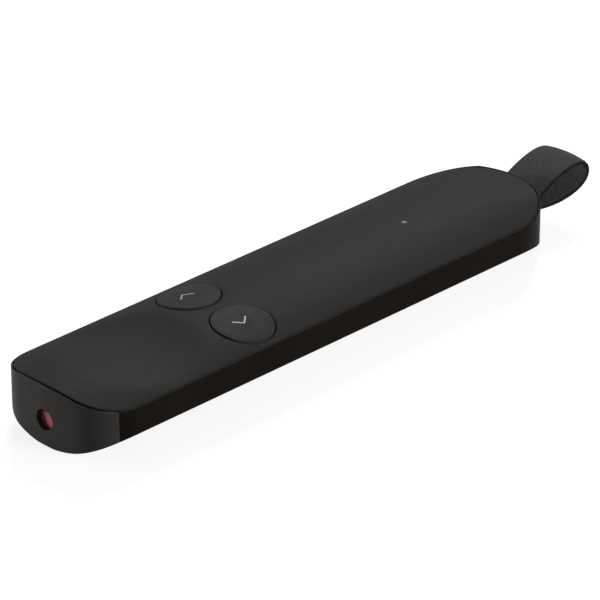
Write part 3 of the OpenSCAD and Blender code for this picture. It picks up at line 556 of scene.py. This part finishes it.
def fill(solid, loops, surface, grid):
    """Triangles between an outer loop and its holes, on a surface."""
    outer = loops[0][0]
    low, high = outer.min(0), outer.max(0)
    rows = np.arange(low[1], high[1], grid * math.sqrt(3) / 2)
    columns = np.arange(low[0] - grid, high[0], grid)
    scatter = np.array([(x + (i % 2) * grid / 2, y) for i, y in enumerate(rows)
                        for x in columns])
    loop_points = np.vstack([points for points, _ in loops])
    kept = inside(scatter, outer)
    for points, _ in loops[1:]:
        kept &= ~inside(scatter, points)
    scatter = scatter[kept]
    nearest = np.array([np.min(np.hypot(*(loop_points - p).T)) for p in scatter])
    scatter = scatter[nearest > grid * CLEAR_OF_EDGE]
    edges, start = [], 0
    for points, _ in loops:
        count = len(points)
        edges += [(start + i, start + (i + 1) % count) for i in range(count)]
        start += count
    scale = 1 / MM                # the triangulation works in millimetres
    found, _, faces, origins, _, _ = delaunay_2d_cdt(
        [Vector(p) * scale for p in np.vstack([loop_points, scatter])], edges, [], 0, 1e-6)
    verts = [v for _, ring in loops for v in ring]
    verts += [solid.verts.new((*p, surface(*p))) for p in scatter]
    middles = np.array([np.mean([found[i] for i in f], axis=0) / scale for f in faces])
    shown = inside(middles, outer)
    for points, _ in loops[1:]:
        shown &= ~inside(middles, points)
    for face, keep in zip(faces, shown):
        if keep:
            solid.faces.new([verts[origins[i][0]] for i in face])


def nose_undercut(y):
    """How far the cover's edge is drawn in below its top; behind the nose, hardly at all."""
    return UNDERCUT * np.clip((NOSE_SEAM_Y + UNDERCUT_END - y) / UNDERCUT_FADE,
                              UNDERCUT_LEFT, 1)


def add_fittings(solid):
    """Adds the cover's snap hooks and screw bosses, carried up to its underside."""
    fittings = cleaned("top_cover")
    cut = bmesh.ops.bisect_plane(
        fittings, geom=fittings.verts[:] + fittings.edges[:] + fittings.faces[:],
        plane_co=(0, 0, LEDGE_Z - FITTINGS_BELOW), plane_no=(0, 0, 1),
        clear_outer=True)["geom_cut"]
    rims = [part for part in cut if isinstance(part, bmesh.types.BMEdge)]
    bmesh.ops.triangle_fill(fittings, use_beauty=True, edges=rims, normal=(0, 0, 1))
    for part in cut:
        if isinstance(part, bmesh.types.BMVert):
            part.co.z = float(cover_underside(part.co.x, part.co.y))
    bmesh.ops.recalc_face_normals(fittings, faces=fittings.faces)
    solid.from_mesh(to_mesh(fittings, "cover_fittings"))


def add_cover():
    """The crowned cover: one plate with the dish, two key holes and the light pipe's hole."""
    key_low, key_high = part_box("next_button")
    key_x = (key_low.x + key_high.x) / 2
    key_y = (key_low.y + key_high.y) / 2
    key_r = (key_high.x - key_low.x) / 2
    pipe_low, pipe_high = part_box("light_pipe")
    pipe_y = (pipe_low.y + pipe_high.y) / 2
    edges = [outline(COVER_GRID),
             circle(-key_x, key_y, key_r + KEY_GAP, KEY_HOLE_STEP),
             circle(key_x, key_y, key_r + KEY_GAP, KEY_HOLE_STEP),
             circle(0, pipe_y, PIPE_R + COVER_GAP, PIPE_HOLE_STEP)]
    insets = [RIM_T + COVER_GAP, 0, 0, 0]
    radii = [COVER_EDGE_R] + [HOLE_EDGE_R] * 3
    solid = plate(edges, insets, radii, cover_top, cover_underside, COVER_GRID,
                  nose_undercut)
    add_fittings(solid)
    return add_piece("crowned_cover", to_mesh(solid, "crowned_cover"), "cover_soft_touch",
                     "housing", ["top_cover"])


add_cover()


# ---------- the keys ----------

KEY_EDGE_R = 0.18 * MM            # rounding of a key's upper edge
KEY_TOP_Z = LEDGE_Z + 1.5 * MM    # of a key, only the top and its edge lie above this
KEY_GRID = 0.6 * MM               # size of a key's triangles


def open_loop(solid):
    """The vertices round the one hole of a mesh, in order."""
    edges = {edge for edge in solid.edges if len(edge.link_faces) == 1}
    edge = edges.pop()
    loop = list(edge.verts)
    while edges:
        edge = next(e for e in loop[-1].link_edges if e in edges)
        edges.remove(edge)
        loop.append(edge.other_vert(loop[-1]))
    return loop[:-1]


def smooth_key_top(solid, middle, radius, lift):
    """Replaces a key's faceted top by a fine one that follows the crown."""
    flat_r = radius - 0.9 * KEY_EDGE_R               # a little outside the flat part
    tops = [face for face in solid.faces if face.normal.z > 0.9
            and all(v.co.z > KEY_TOP_Z and (v.co.xy - middle).length < flat_r
                    for v in face.verts)]
    bmesh.ops.delete(solid, geom=tops, context="FACES")
    loop = open_loop(solid)
    for vert in loop:
        vert.co.z = float(crown(vert.co.x, vert.co.y)) + lift
    fill(solid, [(np.array([v.co.xy for v in loop]), loop)],
         lambda x, y: crown(x, y) + lift, KEY_GRID)
    bmesh.ops.recalc_face_normals(solid, faces=solid.faces)


def add_keys():
    """The two keys, with a soft edge round their tops, and their printed chevrons."""
    for name, node, side in (("back_key_cap", "back_button", -1),
                             ("next_key_cap", "next_button", 1)):
        low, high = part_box(node)
        radius = (high.x - low.x) / 2
        middle = ((low + high) / 2).xy
        lift = high.z - float(crown(abs(middle.x) - radius, middle.y))
        solid = cleaned(node)
        round_edges(solid, KEY_EDGE_R, 4, lambda place: place.z > KEY_TOP_Z
                    and (place.xy - middle).length > 0.9 * radius)
        smooth_key_top(solid, middle, radius, lift)
        add_copy(node, name, solid)
        add_chevron(name + "_mark", side, middle, lift, body_of(node))


CHEVRON_REACH = 1.7 * MM          # half its height, along the body
CHEVRON_DEPTH = 1.5 * MM          # from its tip to its ends, across the body
CHEVRON_STROKE = 0.29 * MM
CHEVRON_SHIFT = {-1: (-0.68 * MM, -0.36 * MM), 1: (-0.3 * MM, 0)}   # from the key's middle
CHEVRON_STEPS = 10                # along each of its arms
INK_T = 0.012 * MM                # how far the print stands above and reaches below the top


def add_chevron(name, side, middle, lift, body):
    """A thin print that points away from the body's middle and follows the key's top."""
    tip = middle + Vector((side * CHEVRON_DEPTH / 2, 0)) + Vector(CHEVRON_SHIFT[side])
    half = CHEVRON_STROKE / 2
    ends = [tip + Vector((-side * CHEVRON_DEPTH, turn * CHEVRON_REACH)) for turn in (-1, 1)]
    line = [start.lerp(end, k / CHEVRON_STEPS) for start, end in ((ends[0], tip), (tip, ends[1]))
            for k in range(CHEVRON_STEPS)]
    line.append(ends[1])
    sides = []
    for i, point in enumerate(line):
        before = (point - line[i - 1]).normalized() if i else (line[1] - point).normalized()
        after = (line[i + 1] - point).normalized() if i < len(line) - 1 else before
        forward = (before + after).normalized()
        out = Vector((-forward.y, forward.x)) * half / max(0.5, forward.dot(before))
        sides.append((point + out, point - out))
    solid = bmesh.new()
    rings = []
    for left, right in sides:
        ring = []
        for point, rise in ((left, -INK_T), (left, INK_T), (right, INK_T), (right, -INK_T)):
            top = float(crown(point.x, point.y)) + lift
            ring.append(solid.verts.new((point.x, point.y, top + rise)))
        rings.append(ring)
    join_rings(solid, rings)
    solid.faces.new(rings[0])
    solid.faces.new(rings[-1])
    bmesh.ops.recalc_face_normals(solid, faces=solid.faces)
    add_piece(name, to_mesh(solid, name), "key_soft_touch", body, material="printed_ink")


add_keys()


# ---------- the webbing ----------

# as in the part's source
STRAP_W = 10.7 * MM
STRAP_T = 0.8 * MM
LOOP_H = 6.7 * MM
LOOP_TILT = math.radians(12)

SEEN_TILT = math.radians(11)      # of the webbing, which hangs a little lower than the solid
DROP_TAPER = 0.85                 # the larger, the thinner the loop is near its root
TIP_BLUNTNESS = 0.85              # below 1 the fold is blunter than an ellipse
SLACK = 0.22 * MM                 # by which the loop reaches past the part's solid
LOOP_SAMPLES, TAIL_SAMPLES = 120, 24
RIB_PITCH = 0.8 * MM              # one weft thread and its gap, along the webbing
RIB_COLUMN = 0.6 * MM             # one warp thread, across the webbing
RIB_RELIEF = 0.012 * MM
EDGE_WAVE = 0.006                 # share of the width by which threads move the edge
STRAP_STEP = 0.2 * MM             # between the mesh's rings
STRAP_CROWN = 0.5 * MM            # how far the fold bulges in the middle of its width
STRAP_SMOOTHING = 0.3 * MM        # over which kinks of the middle line are evened out
FOLD_SPREAD = 6 * MM              # over which the bulge fades, to both sides
FOLD_PAST_MIDDLE = 1 * MM         # from the middle of the webbing's length to the bulge
SELVEDGE = 0.45 * MM              # from the edge to the groove that runs beside it
SELVEDGE_W = 0.12 * MM            # of the groove
SELVEDGE_DEPTH = 0.1 * MM

FLAT_X = STRAP_W / 2 - STRAP_T / 2   # from the webbing's middle to its round edge
GROOVE_X = STRAP_W / 2 - SELVEDGE


def lengths_along(line):
    """How far along a line each of its points lies."""
    return np.concatenate([[0], np.cumsum(np.hypot(*np.diff(line, axis=0).T))])


def webbing_line():
    """The webbing's middle line in Y and Z: along one tail, round the loop and back."""
    low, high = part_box("wrist_strap")
    root_y = REAR_Y - STRAP_T
    grip_low, grip_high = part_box("receiver_grip")
    strap_z = (grip_low.z + grip_high.z) / 2
    reach = (high.y - root_y) / math.cos(LOOP_TILT) - STRAP_T / 2 + SLACK
    height = LOOP_H - STRAP_T
    turns = np.linspace(0, math.pi, LOOP_SAMPLES)
    out = reach * (1 - np.cos(turns)) / 2
    drop_shape = (np.maximum(np.sin(turns), 0) ** TIP_BLUNTNESS
                  * np.sin(turns / 2) ** DROP_TAPER)
    away = height / 2 * drop_shape / drop_shape.max()
    early = np.clip(1 - out / (reach / 2), 0, 1)
    away = np.hypot(away, STRAP_T / 2 * early)
    lower, upper = np.stack([out, -away], 1), np.stack([out, away], 1)
    drop = np.vstack([lower, upper[::-1][1:]])
    c, s = math.cos(SEEN_TILT), math.sin(SEEN_TILT)
    loop = np.stack([root_y + drop[:, 0] * c - drop[:, 1] * s,
                     strap_z + drop[:, 0] * s + drop[:, 1] * c], 1)
    tail = np.linspace(low.y, root_y - STRAP_STEP, TAIL_SAMPLES)
    below = np.stack([tail, np.full(len(tail), strap_z - STRAP_T / 2)], 1)
    above = np.stack([tail[::-1], np.full(len(tail), strap_z + STRAP_T / 2)], 1)
    line = np.vstack([below, loop, above])
    run = lengths_along(line)
    count = round(run[-1] / STRAP_STEP)
    even = np.linspace(0, run[-1], count + 1)
    line = np.stack([np.interp(even, run, line[:, k]) for k in (0, 1)], 1)
    for _ in range(round((STRAP_SMOOTHING / STRAP_STEP) ** 2)):
        line[1:-1] = (line[:-2] + 2 * line[1:-1] + line[2:]) / 4
    return line


def webbing_section():
    """Points round the webbing's section, across it and through its thickness."""
    half_t = STRAP_T / 2
    across = np.linspace(-FLAT_X, FLAT_X, round(2 * FLAT_X / (RIB_COLUMN / 2)) + 1)
    grooved = [side * (GROOVE_X + share * SELVEDGE_W) for side in (-1, 1)
               for share in (-1.5, -0.75, 0)]        # closer points at the grooves
    across = np.unique(np.concatenate([across, grooved]))
    bend = np.linspace(math.pi / 2, -math.pi / 2, 6)[1:-1]
    return ([(x, half_t) for x in across]
            + [(FLAT_X + half_t * math.cos(t), half_t * math.sin(t)) for t in bend]
            + [(x, -half_t) for x in across[::-1]]
            + [(-FLAT_X - half_t * math.cos(t), -half_t * math.sin(t)) for t in bend])


def add_webbing():
    """A doubled length of woven webbing with ribbed faces and grooved, rounded edges."""
    line = webbing_line()
    along = np.gradient(line, axis=0)
    along /= np.hypot(*along.T)[:, None]
    out = np.stack([along[:, 1], -along[:, 0]], 1)   # away from the loop's inside
    run = lengths_along(line)
    fold = np.exp(-((run - run[-1] / 2 - FOLD_PAST_MIDDLE) / FOLD_SPREAD) ** 2)
    section = webbing_section()
    solid = bmesh.new()
    weave = solid.loops.layers.uv.new("weave")
    rings = []
    for (y, z), (oy, oz), s, folded in zip(line, out, run, fold):
        ring = []
        for x, t in section:
            column = math.floor(x / RIB_COLUMN) % 2
            phase = 2 * math.pi * s / RIB_PITCH + column * math.pi
            relief = RIB_RELIEF * math.sin(phase) * (1 if t > 0 else -1)
            relief -= (math.copysign(SELVEDGE_DEPTH, t)
                       * math.exp(-((abs(x) - GROOVE_X) / SELVEDGE_W) ** 2))
            crowned = STRAP_CROWN * folded * (1 - (x / (STRAP_W / 2)) ** 2)
            lift = t + relief + crowned
            wide = 1 + (EDGE_WAVE * math.cos(phase) if abs(x) > FLAT_X else 0)
            ring.append(solid.verts.new((x * wide, y + oy * lift, z + oz * lift)))
        rings.append(ring)
    count = len(section)
    for step, (first, second) in enumerate(zip(rings, rings[1:])):
        for i in range(count):
            face = solid.faces.new((first[i], second[i], second[(i + 1) % count],
                                    first[(i + 1) % count]))
            for loop, (k, j) in zip(face.loops, ((0, i), (1, i), (1, i + 1), (0, i + 1))):
                x = section[j % count][0]
                loop[weave].uv = (run[step + k] / MM, x / MM)
    solid.faces.new(rings[0])
    solid.faces.new(rings[-1])
    bmesh.ops.recalc_face_normals(solid, faces=solid.faces)
    strap = add_piece("woven_strap", to_mesh(solid, "woven_strap"), "webbing", "receiver",
                      ["wrist_strap"])


add_webbing()


# ---------- the nose cap ----------

LIP_FALL = 0.55 * MM              # how far the nose cap's rim falls behind its lip
LIP_T = 0.14 * MM
LIP_DROP = 0.2 * MM               # how far the lip's middle stands below the cover's edge
LIP_FADE = 1.5 * MM               # over which that fades out before the seams
LIP_FADE_LEFT = 9 * MM            # and over which it fades out left of the middle
RIM_FOOT_Z = LEDGE_Z + 0.3 * MM   # of the nose cap, only its rim reaches above this
NOSE_EDGE_R = 0.1 * MM
NOSE_OUTLINE_STEP = 0.1 * MM
NOSE_GAP = 0.08 * MM              # as in the part's source


def add_nose():
    """The nose cap: its rim is a lip that falls away towards the cover and shades the seam."""
    solid = cleaned("nose_cap")
    edge = outline(NOSE_OUTLINE_STEP)[:, :2]
    for vert in solid.verts:
        x, y, z = vert.co
        inset = np.min(np.hypot(edge[:, 0] - x, edge[:, 1] - y))
        middle = (np.clip((NOSE_SEAM_Y - y) / LIP_FADE, 0, 1)
                  * np.clip(1 + x / LIP_FADE_LEFT, 0, 1))
        if z > RIM_FOOT_Z:
            vert.co.z -= LIP_FALL if inset > LIP_T else LIP_DROP * middle
        if math.isclose(y, NOSE_SEAM_Y - NOSE_GAP, abs_tol=NOSE_GAP / 10):
            vert.co.y = NOSE_SEAM_Y   # no light passes through the seam
    round_edges(solid, NOSE_EDGE_R)
    add_copy("nose_cap", "nose_moulding", solid)


add_nose()


# ---------- pieces whose moulded, turned or folded edges are rounded ----------

# each node with its dressed copy and how far the copy's edges are rounded
EDGE_RADII = {
    "lower_shell": ("side_and_belly_shell", 0.14 * MM),
    "receiver_grip": ("receiver_handle", 0.15 * MM),
    "usb_shell": ("folded_plug_shell", 0.08 * MM),
    "receiver_sleeve": ("receiver_guide", 0.1 * MM),
    "chassis": ("chassis_tray", 0.1 * MM),
    "battery_cell": ("pouch_cell", 0.45 * MM),
    "radio_shield": ("pressed_shield", 0.2 * MM),
    "charging_port": ("charging_socket_shell", 0.06 * MM),
    "laser_barrel": ("turned_barrel", 0.08 * MM),
    "vibration_motor": ("motor_can", 0.12 * MM),
    "chip_antenna": ("antenna_block", 0.08 * MM),
    "main_board": ("circuit_board", 0.06 * MM),
}
for node, (name, radius) in EDGE_RADII.items():
    rounded_piece(node, name, radius)


# ---------- the plug's contacts ----------

# the pockets for them, as in the part's source
POCKET_X = [x * MM for x in (-3.5, -1, 1, 3.5)]
POCKET_W = 1.2 * MM
POCKET_START = 0.9 * MM           # from the plug's mouth
POCKET_END = 8 * MM
POCKET_DEPTH = 0.1 * MM

CONTACT_GAP = 0.05 * MM           # round a contact in its pocket
CONTACT_PROUD = 0.05 * MM
CONTACT_EDGE_R = 0.04 * MM
CONTACT_STEP = 0.5 * MM           # between the points along its sides
ROUND_END_POINTS = 9


def slot_outline(x, start, end, r, step):
    """Points and outward normals of a slot along Y with round ends."""
    points = []
    middles = (end - r, start + r)
    count = math.ceil((middles[0] - middles[1]) / step)
    for side, y, other in ((1, *middles), (-1, *middles[::-1])):
        for t in np.linspace(0, math.pi, ROUND_END_POINTS):
            c, s = side * math.cos(t), side * math.sin(t)
            points.append((x + r * c, y + r * s, c, s))
        points += [(x - side * r, straight, -side, 0)
                   for straight in np.linspace(y, other, count + 1)[1:-1]]
    return np.array(points)


def add_plug_contacts():
    """Four gilt contacts with round ends, let into the board of the plug."""
    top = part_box("usb_board")[1].z
    mouth_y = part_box("usb_shell")[0].y
    start = mouth_y + POCKET_START + CONTACT_GAP
    end = mouth_y + POCKET_END - CONTACT_GAP
    joined = bmesh.new()
    for x in POCKET_X:
        loop = slot_outline(x, start, end, POCKET_W / 2 - CONTACT_GAP, CONTACT_STEP)
        contact = plate([loop], [0], [CONTACT_EDGE_R],
                        lambda x, y: top + CONTACT_PROUD + 0 * x,
                        lambda x, y: top - POCKET_DEPTH, CONTACT_STEP)
        joined.from_mesh(to_mesh(contact, "contact"))
    add_piece("plug_contacts", to_mesh(joined, "plug_contacts"), "diode_gold", "receiver")


add_plug_contacts()


# ---------- thin, padded and plain pieces ----------

for node, name in (("sensor_ribbon", "folded_ribbon"), ("laser_flex", "laser_ribbon"),
                   ("collimating_lens", "moulded_lens")):
    piece_without_slivers(node, name)

foam = rounded_piece("battery_pad", "foam_strip", 0.1 * MM)

# the nodes that no piece replaces show their own shape
for node, shown in nodes.items():
    shown.data.materials.clear()
    shown.data.materials.append(MATERIALS[slot_of(node)])


# ---------- floor, light and world ----------

def light_path_share(tree):
    """1 for camera, glossy and transmission rays, 0 for the rays that light the object."""
    path = tree.nodes.new("ShaderNodeLightPath")
    share = path.outputs["Is Camera Ray"]
    for name in ("Is Glossy Ray", "Is Transmission Ray"):
        larger = tree.nodes.new("ShaderNodeMath")
        larger.operation = "MAXIMUM"
        tree.links.new(share, larger.inputs[0])
        tree.links.new(path.outputs[name], larger.inputs[1])
        share = larger.outputs[0]
    return share


def add_world(strength):
    """White where it is seen, and an even dimmer light on the object."""
    world = bpy.data.worlds.new("studio")
    bpy.context.scene.world = world
    world.use_nodes = True
    tree = world.node_tree
    tree.nodes.clear()
    lit, seen = (tree.nodes.new("ShaderNodeBackground") for _ in range(2))
    lit.inputs["Strength"].default_value = strength
    lit.inputs["Color"].default_value = (1, 1, 1, 1)
    seen.inputs["Color"].default_value = (1, 1, 1, 1)
    mix = tree.nodes.new("ShaderNodeMixShader")
    tree.links.new(light_path_share(tree), mix.inputs["Fac"])
    tree.links.new(lit.outputs[0], mix.inputs[1])
    tree.links.new(seen.outputs[0], mix.inputs[2])
    out = tree.nodes.new("ShaderNodeOutputWorld")
    tree.links.new(mix.outputs[0], out.inputs["Surface"])


FLOOR_HALF = 6.0                  # from its middle to its edges
FLOOR_GREYS = ((148, 148, 148), (152, 152, 152))
FLOOR_GLOW = 0.84                 # share of the floor's white that shadows don't reach


def add_floor():
    """A pale floor that keeps the object's shadow and is otherwise white to the eye."""
    mesh = bpy.data.meshes.new("floor")
    corners = [(x, y, 0) for x, y in ((-1, -1), (1, -1), (1, 1), (-1, 1))]
    mesh.from_pydata([(x * FLOOR_HALF, y * FLOOR_HALF, z) for x, y, z in corners], [],
                     [(0, 1, 2, 3)])
    floor = bpy.data.objects.new("floor", mesh)
    bpy.context.scene.collection.objects.link(floor)
    made = Finish("floor_paper")
    made.colour(*(linear(grey) for grey in FLOOR_GREYS),
                made.ranged(made.noise(20 * MM, 2), 0, 1))
    made.constants(Roughness=0.9, Specular_IOR_Level=0.1)
    glow = made.node("ShaderNodeEmission")
    both = made.node("ShaderNodeAddShader")
    share = made.node("ShaderNodeMath", operation="MULTIPLY")
    share.inputs[1].default_value = FLOOR_GLOW
    made.link(light_path_share(made.tree), share.inputs[0])
    made.link(share.outputs[0], glow.inputs["Strength"])
    made.link(made.shader.outputs[0], both.inputs[0])
    made.link(glow.outputs[0], both.inputs[1])
    made.link(both.outputs[0], made.tree.nodes["Material Output"].inputs["Surface"])
    mesh.materials.append(made.material)


def add_lamp(name, direction, distance, size, power):
    """A soft lamp of width and height size, which looks at the object from a direction."""
    data = bpy.data.lights.new(name, "AREA")
    data.shape = "RECTANGLE"
    data.size, data.size_y = size
    data.energy = power
    lamp = bpy.data.objects.new(name, data)
    bpy.context.scene.collection.objects.link(lamp)
    towards = Vector(direction).normalized()
    lamp.location = towards * distance
    lamp.rotation_mode = "QUATERNION"
    lamp.rotation_quaternion = (-towards).to_track_quat("-Z", "Y")
    return lamp


def keep_glare_off_metal(lamp):
    """Leaves the plug's bare metal to the world's light, because the lamp's glare would clip."""
    shaded = bpy.data.collections.new(lamp.name + "_shaded")
    lamp.light_linking.receiver_collection = shaded
    for piece in bpy.context.scene.objects:
        if piece.type == "MESH" and piece.active_material in BARE_METALS:
            shaded.objects.link(piece)
    for member in shaded.collection_objects:
        member.light_linking.link_state = "EXCLUDE"


add_world(strength=0.12)
add_floor()
add_lamp("left_lamp", direction=(-0.83, -0.56, 0.06), distance=1.0, size=(0.3, 0.1),
         power=9.0)
keep_glare_off_metal(add_lamp("back_lamp", direction=(-0.52, 0.61, 0.6), distance=1.6,
                              size=(0.5, 0.5), power=23.5))
add_lamp("right_lamp", direction=(0.95, 0.17, 0.32), distance=0.45, size=(0.2, 0.15),
         power=1.7)

bpy.context.scene.view_settings.view_transform = "Standard"
